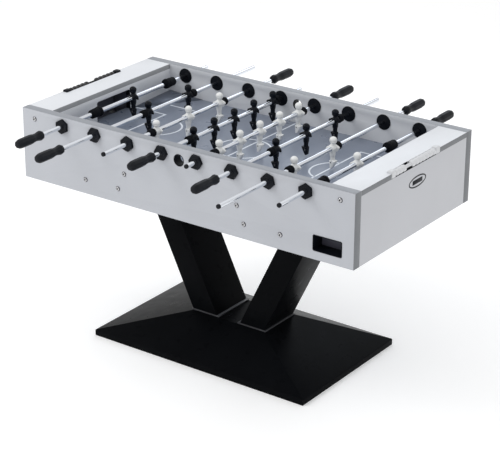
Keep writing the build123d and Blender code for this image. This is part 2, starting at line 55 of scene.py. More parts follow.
SHARP_ANGLE = math.radians(32)

# ---------------------------------------------------------------- places read from the frame
side_low, side_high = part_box("side_panel_front")
field_low, field_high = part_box("playfield")
board_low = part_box("top_boards")[0]
wall_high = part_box("goal_walls")[1]
shell_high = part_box("base_shell")[1]

HALF_L = side_high.x
OUTER_Y = -side_low.y
INNER_Y = -side_high.y
TOP_Z = side_high.z
BOTTOM_Z = side_low.z
FIELD_Z = field_high.z
BOARD_Z = board_low.z
CUP_WIDTH = 115.5 * MM
CUP_DEPTH = 55.5 * MM
CUP_CORNER = 6 * MM
BUSH_R = 15 * MM
LINER_R = 21 * MM
END_THICK = 20 * MM
GOAL_BACK_X = wall_high.x
GOAL_WALL_X = GOAL_BACK_X - END_THICK
END_INNER_X = HALF_L - END_THICK
NOTCH_X = 694.5 * MM
ROD_R = 8 * MM
ROD_Z = (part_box("rod_1")[0].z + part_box("rod_1")[1].z) / 2
ROD_X = [(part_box(f"rod_{k}")[0].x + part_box(f"rod_{k}")[1].x) / 2 for k in range(1, 9)]


# ================================================================ materials
def node_material(name):
    material = bpy.data.materials.new(name)
    material.use_nodes = True
    tree = material.node_tree
    tree.nodes.clear()
    output = tree.nodes.new("ShaderNodeOutputMaterial")
    shader = tree.nodes.new("ShaderNodeBsdfPrincipled")
    tree.links.new(shader.outputs["BSDF"], output.inputs["Surface"])
    coordinates = tree.nodes.new("ShaderNodeTexCoord")
    return material, tree, shader, coordinates.outputs["Object"]


def noise_at(tree, vector, scale, detail=4.0, stretch=None):
    """A noise value over the piece; stretch scales X, Y and Z so that the noise runs in streaks."""
    if stretch is not None:
        mapping = tree.nodes.new("ShaderNodeMapping")
        mapping.inputs["Scale"].default_value = stretch
        tree.links.new(vector, mapping.inputs["Vector"])
        vector = mapping.outputs["Vector"]
    noise = tree.nodes.new("ShaderNodeTexNoise")
    noise.inputs["Scale"].default_value = scale
    noise.inputs["Detail"].default_value = detail
    tree.links.new(vector, noise.inputs["Vector"])
    return noise.outputs["Fac"]


def remap(tree, value, low, high, new_low, new_high):
    node = tree.nodes.new("ShaderNodeMapRange")
    for key, number in (("From Min", low), ("From Max", high), ("To Min", new_low), ("To Max", new_high)):
        node.inputs[key].default_value = number
    tree.links.new(value, node.inputs["Value"])
    return node.outputs["Result"]


def mix_colours(tree, factor, first, second):
    """Mixes two colours, each an RGB triple or a socket."""
    node = tree.nodes.new("ShaderNodeMix")
    node.data_type = "RGBA"
    tree.links.new(factor, node.inputs["Factor"])
    for key, colour in (("A", first), ("B", second)):
        socket = [s for s in node.inputs if s.name == key and s.type == "RGBA"][0]
        if isinstance(colour, tuple):
            socket.default_value = (*colour, 1.0)
        else:
            tree.links.new(colour, socket)
    return [s for s in node.outputs if s.type == "RGBA"][0]


def bump(tree, shader, height, strength, distance):
    node = tree.nodes.new("ShaderNodeBump")
    node.inputs["Strength"].default_value = strength
    node.inputs["Distance"].default_value = distance
    tree.links.new(height, node.inputs["Height"])
    tree.links.new(node.outputs["Normal"], shader.inputs["Normal"])


def shade(colour, amount):
    return tuple(min(1.0, channel * amount) for channel in colour)


def surface(name, colour, rough, vary=0.05, patch=6.0, grain=900.0, grain_height=0.00004, grain_strength=0.25,
            rough_vary=0.06, metallic=0.0, coat=0.0, streaks=None, specular=0.5):
    """A finish with soft patches of tone, a fine grain in its bump and uneven roughness."""
    material, tree, shader, where = node_material(name)
    tone = noise_at(tree, where, patch, 5.0, streaks)
    patches = remap(tree, tone, 0.3, 0.7, 0, 1)
    colours = mix_colours(tree, patches, shade(colour, 1 - vary), shade(colour, 1 + vary))
    tree.links.new(colours, shader.inputs["Base Color"])
    wear = noise_at(tree, where, patch * 5, 6.0, streaks)
    roughness = remap(tree, wear, 0.25, 0.75, rough - rough_vary, rough + rough_vary)
    tree.links.new(roughness, shader.inputs["Roughness"])
    bump(tree, shader, noise_at(tree, where, grain, 3.0, streaks), grain_strength, grain_height)
    shader.inputs["Metallic"].default_value = metallic
    shader.inputs["Coat Weight"].default_value = coat
    shader.inputs["Specular IOR Level"].default_value = specular
    return material


def field_surface(name, middle, ends):
    """Playing surface under a clear film: blue-grey, its colour made darker towards the goals."""
    material, tree, shader, where = node_material(name)
    separate = tree.nodes.new("ShaderNodeSeparateXYZ")
    tree.links.new(where, separate.inputs["Vector"])
    absolute = tree.nodes.new("ShaderNodeMath")
    absolute.operation = "ABSOLUTE"
    tree.links.new(separate.outputs["X"], absolute.inputs[0])
    toward_end = remap(tree, absolute.outputs["Value"], 0.36, 0.60, 0, 1)
    base = mix_colours(tree, toward_end, middle, ends)
    speckle = remap(tree, noise_at(tree, where, 450, 2.0), 0.35, 0.65, 0, 0.12)
    tree.links.new(mix_colours(tree, speckle, base, shade(middle, 1.5)), shader.inputs["Base Color"])
    tree.links.new(remap(tree, noise_at(tree, where, 14), 0.3, 0.7, 0.26, 0.36), shader.inputs["Roughness"])
    bump(tree, shader, noise_at(tree, where, 1400, 2.0), 0.12, 0.00003)
    shader.inputs["Coat Weight"].default_value = 0.06
    shader.inputs["Coat Roughness"].default_value = 0.12
    shader.inputs["Specular IOR Level"].default_value = 0.3
    return material


def plain_materials():
    """Every finish on the table, by a short name."""
    wood_streaks = (1.0, 14.0, 14.0)
    along_rod = (6.0, 0.15, 6.0)

    def laminate(name, colour, rough=0.42, rough_vary=0.05):
        return surface(name, colour, rough, 0.02, 3.0, 1200, 0.00003, 0.18, rough_vary, specular=0.3)

    def edge_band(name, colour):
        return surface(name, colour, 0.45, 0.05, 9.0, 900, 0.00005, 0.25, 0.06)

    return {
        "laminate": laminate("laminate_grey", (0.470, 0.486, 0.522)),
        # Painted light: the end panels take a lighter copy of the grey laminate.
        "laminate_painted_light_end": laminate("laminate_grey_painted_light_end", (0.512, 0.520, 0.547)),
        # Painted light: the inner faces of the side panels take a lighter copy of the grey laminate.
        "laminate_painted_light_inner": laminate("laminate_grey_painted_light_inner", (0.610, 0.625, 0.655)),
        # Painted shade: the top faces of the side panels take a darker copy of the grey laminate.
        "laminate_painted_shade_top": laminate("laminate_grey_painted_shade_top", (0.275, 0.290, 0.318), 0.44, 0.06),
        "edge": edge_band("edge_band_grey", (0.155, 0.163, 0.175)),
        # A lighter copy of the grey edge band, painted light for the inner edges of the end boards.
        "edge_painted_light": edge_band("edge_band_painted_light", (0.34, 0.35, 0.365)),
        "white_board": surface("laminate_white", (0.715, 0.735, 0.770), 0.36, 0.015, 4.0, 1400, 0.00003,
                               0.15, 0.05, specular=0.3),
        "field": field_surface("playfield_print", (0.212, 0.243, 0.310), (0.178, 0.208, 0.270)),
        "line": surface("field_line_print", (0.74, 0.79, 0.86), 0.34, 0.04, 40.0, 1400, 0.00002, 0.1, 0.05),
        "board": surface("bare_board", (0.46, 0.36, 0.25), 0.72, 0.16, 16.0, 260, 0.00025, 0.5, 0.08,
                         streaks=wood_streaks),
        "goal_plastic": surface("goal_plastic_dark", (0.095, 0.100, 0.130), 0.5, 0.05, 12.0, 700, 0.0001,
                                0.35),
        "cup_back": surface("cup_back_grey", (0.075, 0.075, 0.102), 0.46, 0.10, 16.0, 600, 0.0001, 0.35),
        "black_plastic": surface("moulded_black", (0.0045, 0.0056, 0.0086), 0.38, 0.25, 30.0, 1100, 0.00008,
                                 0.35, 0.08, specular=0.11),
        "handle": surface("grip_black", (0.0050, 0.0062, 0.0094), 0.50, 0.25, 30.0, 900, 0.00012, 0.45, 0.08,
                          specular=0.18),
        "rubber": surface("rubber_black", (0.0045, 0.0052, 0.0075), 0.66, 0.25, 40.0, 700, 0.00012, 0.5, 0.08,
                          specular=0.07),
        "chrome": surface("rod_chrome", (0.76, 0.79, 0.84), 0.09, 0.02, 20.0, 500, 0.000004, 0.06, 0.02,
                          metallic=1.0, streaks=along_rod),
        "nickel": surface("screw_nickel", (0.52, 0.52, 0.53), 0.16, 0.05, 60.0, 900, 0.00003, 0.2, 0.06,
                          metallic=1.0),
        # A dark metal for painted shade on the rims and in the sockets of the screw heads.
        "steel_painted_shade": surface("screw_painted_shade", (0.09, 0.09, 0.10), 0.30, 0.05, 60.0, 900, 0.00003, 0.2, 0.06,
                              metallic=1.0),
        "zinc": surface("bolt_zinc", (0.56, 0.57, 0.58), 0.38, 0.08, 60.0, 600, 0.00006, 0.3, 0.08,
                        metallic=1.0),
        "black_man": surface("player_black", (0.0032, 0.0046, 0.0084), 0.26, 0.22, 60.0, 900, 0.00005,
                             0.25, 0.06, specular=0.13),
        "white_man": surface("player_white", (0.78, 0.79, 0.785), 0.38, 0.03, 60.0, 900, 0.00006, 0.25, 0.06),
        # A dark colour for painted shade inside the hole through each man's foot.
        "hole_painted_shade": surface("recess_painted_shade", (0.10, 0.10, 0.11), 0.6, 0.1, 60.0, 900, 0.00006, 0.2),
        "base": surface("satin_black_paint", (0.0034, 0.0038, 0.0046), 0.30, 0.20, 5.0, 1500, 0.00006,
                        0.30, 0.05, specular=0.02),
        "plate": surface("foot_plate_paint", (0.030, 0.031, 0.036), 0.32, 0.2, 12.0, 1500, 0.00006,
                         0.3, 0.05),
        "black_bead": surface("bead_black", (0.006, 0.006, 0.007), 0.20, 0.2, 60.0, 900, 0.00003, 0.15, 0.05),
        "white_bead": surface("bead_white", (0.64, 0.65, 0.67), 0.28, 0.02, 60.0, 900, 0.00003, 0.12, 0.05,
                              specular=0.4),
        "rail_white": surface("rail_white", (0.60, 0.61, 0.63), 0.34, 0.03, 30.0, 900, 0.00004, 0.2, 0.05),
    }


MATERIALS = plain_materials()


# ================================================================ mesh tools
def take(target, source, matrix=None):
    """Moves the geometry of one bmesh into another."""
    mesh = bpy.data.meshes.new("part")
    source.to_mesh(mesh)
    source.free()
    if matrix is not None:
        mesh.transform(matrix)
    target.from_mesh(mesh)
    bpy.data.meshes.remove(mesh)


def piece(name, source, materials, body, slot, *nodes, chooser=None, sharp=SHARP_ANGLE):
    """Turns a bmesh or mesh into a shown piece that rides on a body and stands for CAD nodes."""
    if isinstance(source, bmesh.types.BMesh):
        mesh = bpy.data.meshes.new(name)
        bmesh.ops.recalc_face_normals(source, faces=source.faces)
        if source.calc_volume(signed=True) < 0:
            bmesh.ops.reverse_faces(source, faces=source.faces)
        source.to_mesh(mesh)
        source.free()
    else:
        mesh = source
        mesh.name = name
    for key in materials:
        mesh.materials.append(MATERIALS[key])
    mark_edges(mesh, sharp)
    for polygon in mesh.polygons:
        polygon.use_smooth = True
        if chooser is not None:
            polygon.material_index = chooser(polygon.center, polygon.normal)
    obj = bpy.data.objects.new(name, mesh)
    bpy.context.scene.collection.objects.link(obj)
    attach(obj, body)
    if nodes:
        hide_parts(*nodes)
    return obj


def mark_edges(mesh, sharp):
    """Keeps edges sharper than an angle crisp under smooth shading."""
    bm = bmesh.new()
    bm.from_mesh(mesh)
    for edge in bm.edges:
        edge.smooth = len(edge.link_faces) == 2 and edge.calc_face_angle(0) < sharp
    bm.to_mesh(mesh)
    bm.free()


def rounded_block(low, high, bevel, segments=2):
    """A box between two corners with rounded edges."""
    bm = bmesh.new()
    bmesh.ops.create_cube(bm, size=1)
    size = Vector(high) - Vector(low)
    centre = (Vector(high) + Vector(low)) / 2
    bmesh.ops.transform(bm, matrix=Matrix.Translation(centre) @ Matrix.Diagonal((*size, 1)), verts=bm.verts)
    bmesh.ops.bevel(bm, geom=bm.edges[:], offset=bevel, segments=segments, affect="EDGES", profile=0.6)
    return bm


def rounded_hull(corners, faces, bevel, segments=3):
    """A solid from its corners and faces with rounded edges."""
    bm = bmesh.new()
    verts = [bm.verts.new(corner) for corner in corners]
    for face in faces:
        bm.faces.new([verts[index] for index in face])
    bmesh.ops.recalc_face_normals(bm, faces=bm.faces)
    bmesh.ops.bevel(bm, geom=bm.edges[:], offset=bevel, segments=segments, affect="EDGES", profile=0.6)
    return bm


def lathe(profile, segments=48, radius_at=None):
    """A turned solid about +Y from (station, radius) pairs; radius 0 closes an end.

    radius_at(station, radius, angle) may shape the section, as ribs or flats do."""
    bm = bmesh.new()
    rings = []
    for station, radius in profile:
        if radius <= 0:
            rings.append([bm.verts.new((0, station, 0))])
            continue
        ring = []
        for step in range(segments):
            angle = 2 * math.pi * step / segments
            r = radius_at(station, radius, angle) if radius_at else radius
            ring.append(bm.verts.new((r * math.cos(angle), station, r * math.sin(angle))))
        rings.append(ring)
    for first, second in zip(rings, rings[1:]):
        for step in range(segments):
            after = (step + 1) % segments
            if len(first) == 1:
                bm.faces.new((first[0], second[step], second[after]))
            elif len(second) == 1:
                bm.faces.new((first[step], second[0], first[after]))
            else:
                bm.faces.new((first[step], second[step], second[after], first[after]))
    return bm


def ring_lathe(profile, segments=48):
    """A turned ring: the profile is a closed outline of (station, radius) pairs."""
    return lathe(list(profile) + [profile[0]], segments)


def weld(bm, distance=1e-6):
    bmesh.ops.remove_doubles(bm, verts=bm.verts, dist=distance)
    return bm


def placed(x, y, z, direction=1):
    """Where a turned piece goes: its +Y axis along the row's +Y or, turned half round, along -Y."""
    turn = Matrix.Identity(4) if direction > 0 else Matrix.Rotation(math.pi, 4, "Z")
    return Matrix.Translation((x, y, z)) @ turn


def arc_points(centre, radius, start, end, steps):
    """Points on an arc in a plane, angles in degrees."""
    angles = [math.radians(start + (end - start) * step / steps) for step in range(steps + 1)]
    return [(centre[0] + radius * math.cos(a), centre[1] + radius * math.sin(a)) for a in angles]


def rounded_rectangle(x0, x1, y0, y1, radius, steps=6):
    corners = ((x1 - radius, y1 - radius, 0), (x0 + radius, y1 - radius, 90),
               (x0 + radius, y0 + radius, 180), (x1 - radius, y0 + radius, 270))
    return [p for cx, cy, start in corners for p in arc_points((cx, cy), radius, start, start + 90, steps)]


def sheet_with_holes(outline, holes, thickness, bevel):
    """A flat board in the XY plane, centred on Z = 0, with rounded edges all round its holes too."""
    curve = bpy.data.curves.new("board", "CURVE")
    curve.dimensions = "2D"
    curve.fill_mode = "BOTH"
    curve.extrude = thickness / 2 - bevel
    curve.bevel_depth = bevel
    curve.bevel_resolution = 1
    curve.offset = -bevel
    for points in [outline] + holes:
        spline = curve.splines.new("POLY")
        spline.points.add(len(points) - 1)
        for point, (x, y) in zip(spline.points, points):
            point.co = (x, y, 0, 1)
        spline.use_cyclic_u = True
    holder = bpy.data.objects.new("board", curve)
    mesh = bpy.data.meshes.new_from_object(holder)
    bpy.data.objects.remove(holder)
    bpy.data.curves.remove(curve)
    bm = bmesh.new()
    bm.from_mesh(mesh)
    bpy.data.meshes.remove(mesh)
    return weld(bm, 2e-6)


UPRIGHT_XZ = Matrix.Rotation(math.pi / 2, 4, "X")


# ================================================================ cabinet
def side_panels():
    """Long side panels with their bores; grey bands on the ends and the lower edge."""
    outline = [(-HALF_L, BOTTOM_Z), (HALF_L, BOTTOM_Z), (HALF_L, TOP_Z), (-HALF_L, TOP_Z)]
    ball_low, ball_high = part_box("ball_liners")
    ball_z = (ball_low.z + ball_high.z) / 2
    cup_low, cup_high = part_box("return_cups")
    for name, side in (("front", -1), ("back", 1)):
        holes = [arc_points((x, ROD_Z), BUSH_R, 0, 360, 40)[:-1] for x in ROD_X]
        holes.append(arc_points((0, ball_z), LINER_R, 0, 360, 48)[:-1])
        x_far = cup_high.x
        x_near = x_far - CUP_WIDTH
        x0, x1 = (x_near, x_far) if side < 0 else (-x_far, -x_near)
        holes.append(rounded_rectangle(x0, x1, cup_low.z, cup_high.z, CUP_CORNER))
        bm = sheet_with_holes(outline, holes, OUTER_Y - INNER_Y, 0.8 * MM)
        middle = side * (OUTER_Y + INNER_Y) / 2
        bm.transform(Matrix.Translation((0, middle, 0)) @ UPRIGHT_XZ)

        def paint(centre, normal):
            if abs(normal.x) > 0.9 and abs(centre.x) > HALF_L - 2 * MM:
                return 1
            if normal.z < -0.9 and centre.z < BOTTOM_Z + 2 * MM:
                return 1
            # Top faces: a darker copy of the laminate, painted shade.
            if normal.z > 0.9 and centre.z > TOP_Z - 2 * MM:
                return 2
            # Inner faces: a lighter copy of the laminate, painted light.
            return 3 if normal.y * side < -0.9 else 0

        finishes = ["laminate", "edge", "laminate_painted_shade_top", "laminate_painted_light_inner"]
        piece(f"side_{name}", bm, finishes, "cabinet", "panel_laminate", f"side_panel_{name}", chooser=paint)


def end_panels():
    bm = bmesh.new()
    for side in (-1, 1):
        x_range = sorted((side * END_INNER_X, side * HALF_L))
        take(bm, rounded_block((x_range[0], -INNER_Y, BOTTOM_Z), (x_range[1], INNER_Y, BOARD_Z), 0.7 * MM))
    # The end panels wear a lighter copy of the grey laminate, as painted light.
    piece("ends", bm, ["laminate_painted_light_end", "edge"], "cabinet", "panel_laminate", "end_panels",
          chooser=lambda centre, normal: 1 if normal.z < -0.9 else 0)


def end_boards():
    """White boards over the ends, notched for the score counters, with grey bands on their long edges."""
    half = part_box("score_rails")[1].y
    outline = [(GOAL_WALL_X, -INNER_Y), (HALF_L, -INNER_Y), (HALF_L, -half), (NOTCH_X, -half),
               (NOTCH_X, half), (HALF_L, half), (HALF_L, INNER_Y), (GOAL_WALL_X, INNER_Y)]
    bm = bmesh.new()
    for turn in (0, math.pi):
        board = sheet_with_holes(outline, [], TOP_Z - BOARD_Z, 0.8 * MM)
        lift = Matrix.Translation((0, 0, (TOP_Z + BOARD_Z) / 2))
        take(bm, board, lift @ Matrix.Rotation(turn, 4, "Z"))

    def paint(centre, normal):
        if abs(normal.x) < 0.9:
            return 0
        # Inner edges: a lighter copy of the grey band, painted light.
        return 1 if abs(centre.x) < GOAL_WALL_X + 2 * MM else 2

    piece("end_boards", bm, ["white_board", "edge_painted_light", "edge"], "cabinet", "board_laminate", "top_boards",
          chooser=paint)


def goal_walls():
    """Walls at the ends of the playfield; each has a goal mouth open at the bottom."""
    half, top, corner = 97 * MM, 843 * MM, 10 * MM
    arch_right = arc_points((half - corner, top - corner), corner, 0, 90, 6)
    arch_left = arc_points((-half + corner, top - corner), corner, 90, 180, 6)
    outline = [(INNER_Y, FIELD_Z), (INNER_Y, BOARD_Z), (-INNER_Y, BOARD_Z), (-INNER_Y, FIELD_Z),
               (-half, FIELD_Z)]
    outline += list(reversed(arch_left)) + list(reversed(arch_right)) + [(half, FIELD_Z)]
    stand = Matrix.Rotation(math.pi / 2, 4, "Z") @ UPRIGHT_XZ
    bm = bmesh.new()
    for side in (-1, 1):
        wall = sheet_with_holes(outline, [], GOAL_BACK_X - GOAL_WALL_X, 0.7 * MM)
        take(bm, wall, Matrix.Translation((side * (GOAL_BACK_X + GOAL_WALL_X) / 2, 0, 0)) @ stand)

    def paint(centre, normal):
        in_mouth = abs(centre.y) < half + 1 * MM and centre.z < top + 1 * MM
        return 1 if in_mouth and abs(normal.x) < 0.5 else 0

    piece("goal_wall_pair", bm, ["white_board", "black_plastic"], "cabinet", "panel_laminate", "goal_walls",
          chooser=paint)


# ================================================================ playfield
LINE_WIDTH = 7.0 * MM
LINE_LIFT = 0.25 * MM


def ribbon(bm, points, closed=False):
    """A flat printed line along points in the plane of the playfield."""
    count = len(points)
    rows = []
    for index, (x, y) in enumerate(points):
        before = points[index - 1] if closed or index > 0 else points[index]
        after = points[(index + 1) % count] if closed or index < count - 1 else points[index]
        first = (Vector((x, y)) - Vector(before))
        second = (Vector(after) - Vector((x, y)))
        first = first.normalized() if first.length > 0 else second.normalized()
        second = second.normalized() if second.length > 0 else first
        along = (first + second).normalized()
        widen = 1 / max(0.5, along.dot(first))
        across = Vector((-along.y, along.x)) * LINE_WIDTH / 2 * widen
        rows.append([
            bm.verts.new((x + sign * across.x, y + sign * across.y, z))
            for sign, z in ((1, FIELD_Z - LINE_LIFT), (1, FIELD_Z + LINE_LIFT),
                            (-1, FIELD_Z + LINE_LIFT), (-1, FIELD_Z - LINE_LIFT))
        ])
    pairs = list(zip(rows, rows[1:])) + ([(rows[-1], rows[0])] if closed else [])
    for low, high in pairs:
        for step in range(4):
            after = (step + 1) % 4
            bm.faces.new((low[step], low[after], high[after], high[step]))
    if not closed:
        bm.faces.new(rows[0])
        bm.faces.new(list(reversed(rows[-1])))


def field_lines():
    """Half-way line, centre circle and, at each end, a penalty area, a goal area and an arc."""
    bm = bmesh.new()
    edge = INNER_Y - 12 * MM
    ribbon(bm, [(0, -edge), (0, edge)])
    ribbon(bm, arc_points((0, 0), 99 * MM, 0, 360, 96)[:-1], closed=True)
    for side in (-1, 1):
        end = side * (GOAL_WALL_X - 6 * MM)
        for x, y in ((360 * MM, 218 * MM), (452 * MM, 121 * MM)):
            ribbon(bm, [(end, -y), (side * x, -y), (side * x, y), (end, y)])
        bow = arc_points((390 * MM, 0), 88 * MM, 110, 250, 40)
        ribbon(bm, [(side * x, y) for x, y in bow])
    piece("field_lines", bm, ["line"], "cabinet", "board_laminate")


def playfield():
    board = rounded_block(field_low, field_high, 0.5 * MM)
    piece("field", board, ["field"], "cabinet", "field_laminate", "playfield")
    bm = bmesh.new()
    rise, start_x, start_y = 10 * MM, 440 * MM, 100 * MM
    for sx in (-1, 1):
        for sy in (-1, 1):
            corners = [(sx * GOAL_WALL_X, sy * INNER_Y, FIELD_Z),
                       (sx * GOAL_WALL_X, sy * INNER_Y, FIELD_Z + rise),
                       (sx * start_x, sy * INNER_Y, FIELD_Z), (sx * GOAL_WALL_X, sy * start_y, FIELD_Z)]
            ramp = bmesh.new()
            verts = [ramp.verts.new(corner) for corner in corners]
            for face in ((0, 2, 3), (0, 1, 2), (0, 3, 1), (1, 3, 2)):
                ramp.faces.new([verts[index] for index in face])
            take(bm, ramp)
    piece("raised_corners", bm, ["field"], "cabinet", "field_laminate", "corner_ramps")


# ================================================================ fittings of the side panels
def dome(radius, height, socket_r, socket_depth):
    """A domed head seen from +Y, with a round recess for a driver."""
    ball_r = (radius ** 2 + height ** 2) / (2 * height)
    profile = [(0, radius)]
    for step in range(1, 9):
        r = radius + (socket_r - radius) * step / 8
        profile.append((height - ball_r + math.sqrt(ball_r ** 2 - r ** 2), r))
    profile += [(profile[-1][0] - socket_depth, socket_r * 0.92), (profile[-1][0] - socket_depth, 0)]
    return lathe([(0, 0)] + profile, 32)


SCREW_SPOTS = ((658, 846.5), (274.5, 666), (424.5, 666), (244.5, 728))    # x and z
SCREW_HEAD = (9.5 * MM, 5 * MM, 3.2 * MM, 2.4 * MM)    # radius, height, socket radius and socket depth
SCREW_SHADE_RIM = 2.4 * MM    # height of the painted shade round the foot of a head


def panel_screws():
    """Domed screw heads on both long sides: a bright dome, with painted shade on its rim and in its socket.
    """
    bm = bmesh.new()
    for side in (-1, 1):
        for sx in (-1, 1):
            for x, z in SCREW_SPOTS:
                head = dome(*SCREW_HEAD)
                take(bm, head, placed(sx * x * MM, side * OUTER_Y, z * MM, side))

    # Painted shade: the foot of each head and its socket take a dark metal.
    def paint(centre, normal):
        height = abs(centre.y) - OUTER_Y
        return 1 if abs(normal.y) < 0.8 or height < SCREW_SHADE_RIM else 0

    piece("screw_heads", bm, ["nickel", "steel_painted_shade"], "cabinet", "screw_nickel", "panel_screws",
          chooser=paint)


def ball_hole_liners():
    low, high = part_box("ball_liners")
    z = (low.z + high.z) / 2
    depth = (OUTER_Y - INNER_Y) / MM
    outline = [(0, 21), (depth, 21), (depth, 22), (depth + 0.6, 22), (depth + 1, 21.6), (depth + 1, 20.1),
               (depth + 0.4, 19.5), (0.8, 19.5), (0, 20.1)]
    bm = bmesh.new()
    for side in (-1, 1):
        ring = weld(ring_lathe([(s * MM, r * MM) for s, r in outline], 64))
        take(bm, ring, placed(0, side * INNER_Y, z, side))
    piece("ball_hole_rings", bm, ["black_plastic"], "cabinet", "black_plastic", "ball_liners")


def nut_look(turn):
    """Hexagon nut, chamfered at its outer corners, on the end of the bush's barrel."""
    flats = 24.25
    corners = flats / math.cos(math.pi / 6)

    def hexagon(station, radius, angle):
        sector = math.pi / 3
        offset = (angle - math.radians(turn) + sector / 2) % sector - sector / 2
        return min(radius, (flats - 0.4 * (station > 9 * MM)) * MM / math.cos(abs(abs(offset) - sector / 2)))

    profile = [(0, 15), (0, corners), (8.6, corners), (10, corners - 2.6), (10, 16.2), (9.4, 15.6), (9.4, 15)]
    return weld(lathe([(s * MM, r * MM) for s, r in profile + profile[:1]], 144, hexagon))


def bearings():
    """Bushes with a round flange inside, and hexagon nuts outside."""
    bushes, nuts = bmesh.new(), bmesh.new()
    bore = ROD_R / MM + 0.08
    barrel = (OUTER_Y - INNER_Y) / MM
    outline = [(-4, bore + 1.2), (-4, 25.5), (-3.0, 28.2), (-1.6, 29), (0, 29), (0, 15), (barrel + 9.2, 15),
               (barrel + 10, 14.2), (barrel + 10, bore + 1.0), (barrel + 9, bore), (-3.0, bore)]
    for index, x in enumerate(ROD_X):
        for side in (-1, 1):
            ring = weld(ring_lathe([(s * MM, r * MM) for s, r in outline], 64))
            take(bushes, ring, placed(x, side * INNER_Y, ROD_Z, side))
            take(nuts, nut_look(90 - NUT_TURNS[index]), placed(x, side * OUTER_Y, ROD_Z, side))
    piece("bushes", bushes, ["black_plastic"], "cabinet", "black_plastic", "bearing_bushes")
    piece("hexagon_nuts", nuts, ["black_plastic"], "cabinet", "black_plastic", "bearing_nuts",
          sharp=math.radians(25))


def return_cups():
    """Lined ball-return openings: a rounded rim, a black lining and a grey back."""
    low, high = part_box("return_cups")
    depth = CUP_DEPTH / MM
    rim = ((0, 0, 6), (0.8, -1.2, 6), (2.2, -1.2, 5), (3, 0.4, 4), (3, depth - 1, 4), (0, depth - 1, 4))
    bm = bmesh.new()
    for side in (1, -1):
        rows = []
        for inset, y, radius in rim:
            ring = rounded_rectangle(high.x - CUP_WIDTH + inset * MM, high.x - inset * MM, low.z + inset * MM,
                                     high.z - inset * MM, radius * MM, 5)
            rows.append([bm.verts.new((side * x, side * (y * MM - OUTER_Y), z)) for x, z in ring])
        for first, second in zip(rows, rows[1:] + rows[:1]):
            for step in range(len(first)):
                after = (step + 1) % len(first)
                bm.faces.new((first[step], first[after], second[after], second[step]))
        x_range = sorted((side * (high.x - CUP_WIDTH), side * high.x))
        y_range = sorted((side * (CUP_DEPTH - 3 * MM - OUTER_Y), side * (CUP_DEPTH - OUTER_Y)))
        take(bm, rounded_block((x_range[0], y_range[0], low.z), (x_range[1], y_range[1], high.z), 0.4 * MM))
    back = OUTER_Y - CUP_DEPTH + 3.2 * MM
    piece("cup_linings", bm, ["black_plastic", "cup_back"], "cabinet", "black_plastic", "return_cups",
          chooser=lambda centre, normal: 1 if abs(normal.y) > 0.9 and abs(centre.y) < back else 0)


# ================================================================ rods, grips and stops
def rods():
    for number in range(1, 9):
        low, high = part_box(f"rod_{number}")
        r = ROD_R / MM
        length = (high.y - low.y) / MM
        half_profile = [(0, 0), (0, r - 0.8), (0.3, r - 0.25), (0.9, r)]
        profile = half_profile + [(length - s, radius) for s, radius in reversed(half_profile)]
        bm = bmesh.new()
        tube = lathe([(s * MM, radius * MM) for s, radius in profile], 40)
        take(bm, tube, placed(ROD_X[number - 1], low.y, ROD_Z))
        piece(f"tube_{number}", bm, ["chrome"], f"rod_{number}_spinner", "rod_chrome", f"rod_{number}")


GRIP_PROFILE = ((0, 0), (0, 9.5), (0.6, 10.8), (1.8, 13.4), (4, 15.6), (7.5, 17.0), (11, 17.5),
                (14.5, 17.4), (18, 16.9), (23.5, 15.8), (29, 14.8), (34, 14.3), (39, 14.2), (43.5, 14.6),
                (49, 15.6), (54, 16.6), (60, 17.1), (72, 17.3), (90, 17.4), (108, 17.4), (114.5, 17.1),
                (120, 16.2), (124.5, 14.8), (128.2, 12.6), (130.3, 9.5), (131, 6.0), (131, 0))
GRIP_FLATS = 8


def flat_sided(station, radius, angle):
    """A grip has flats all along, with their corners just broken."""
    sector = 2 * math.pi / GRIP_FLATS
    offset = (angle + sector / 2) % sector - sector / 2
    return min(radius, 1.022 * radius * math.cos(sector / 2) / math.cos(offset))


def grips():
    for number in range(1, 9):
        black = number in BLACK_RODS
        node = f"handle_{number}" if black else f"handle_and_cap_{number}"
        low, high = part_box(node)
        x = ROD_X[number - 1]
        length = GRIP_PROFILE[-1][0] * MM
        start = low.y + length if black else high.y - length
        bm = bmesh.new()
        grip = lathe([(s * MM, r * MM) for s, r in GRIP_PROFILE], 96, flat_sided)
        take(bm, grip, placed(x, start, ROD_Z, -1 if black else 1))
        if not black:
            plug = ((0, 0), (0, 5.6), (0.5, 6.9), (1.4, 7.7), (2.6, 8), (8.1, 8), (8.5, 7.7), (8.5, 6),
                    (24.5, 5.9), (24.5, 0))
            take(bm, lathe([(s * MM, r * MM) for s, r in plug], 40), placed(x, low.y, ROD_Z))
        piece(f"grip_{number}", bm, ["handle"], f"rod_{number}_spinner", "handle_plastic", node,
              sharp=math.radians(14))


COLLAR = ((0, 14.2), (0.5, 15.5), (2.2, 16.6), (35, 17.8), (35.8, 17.2), (36.2, 16.5), (37.3, 16.5),
          (37.8, 17.6), (38.6, 18.7), (39.6, 19), (47.4, 19), (48.8, 18.6), (49.6, 17.8), (50, 16.8))
BUMPER = ((0, 12.8), (0.6, 14.3), (2, 15), (10.9, 15), (11.4, 14.2), (12.6, 14.2), (13.1, 15), (22, 15),
          (23.4, 14.3), (24, 12.8))


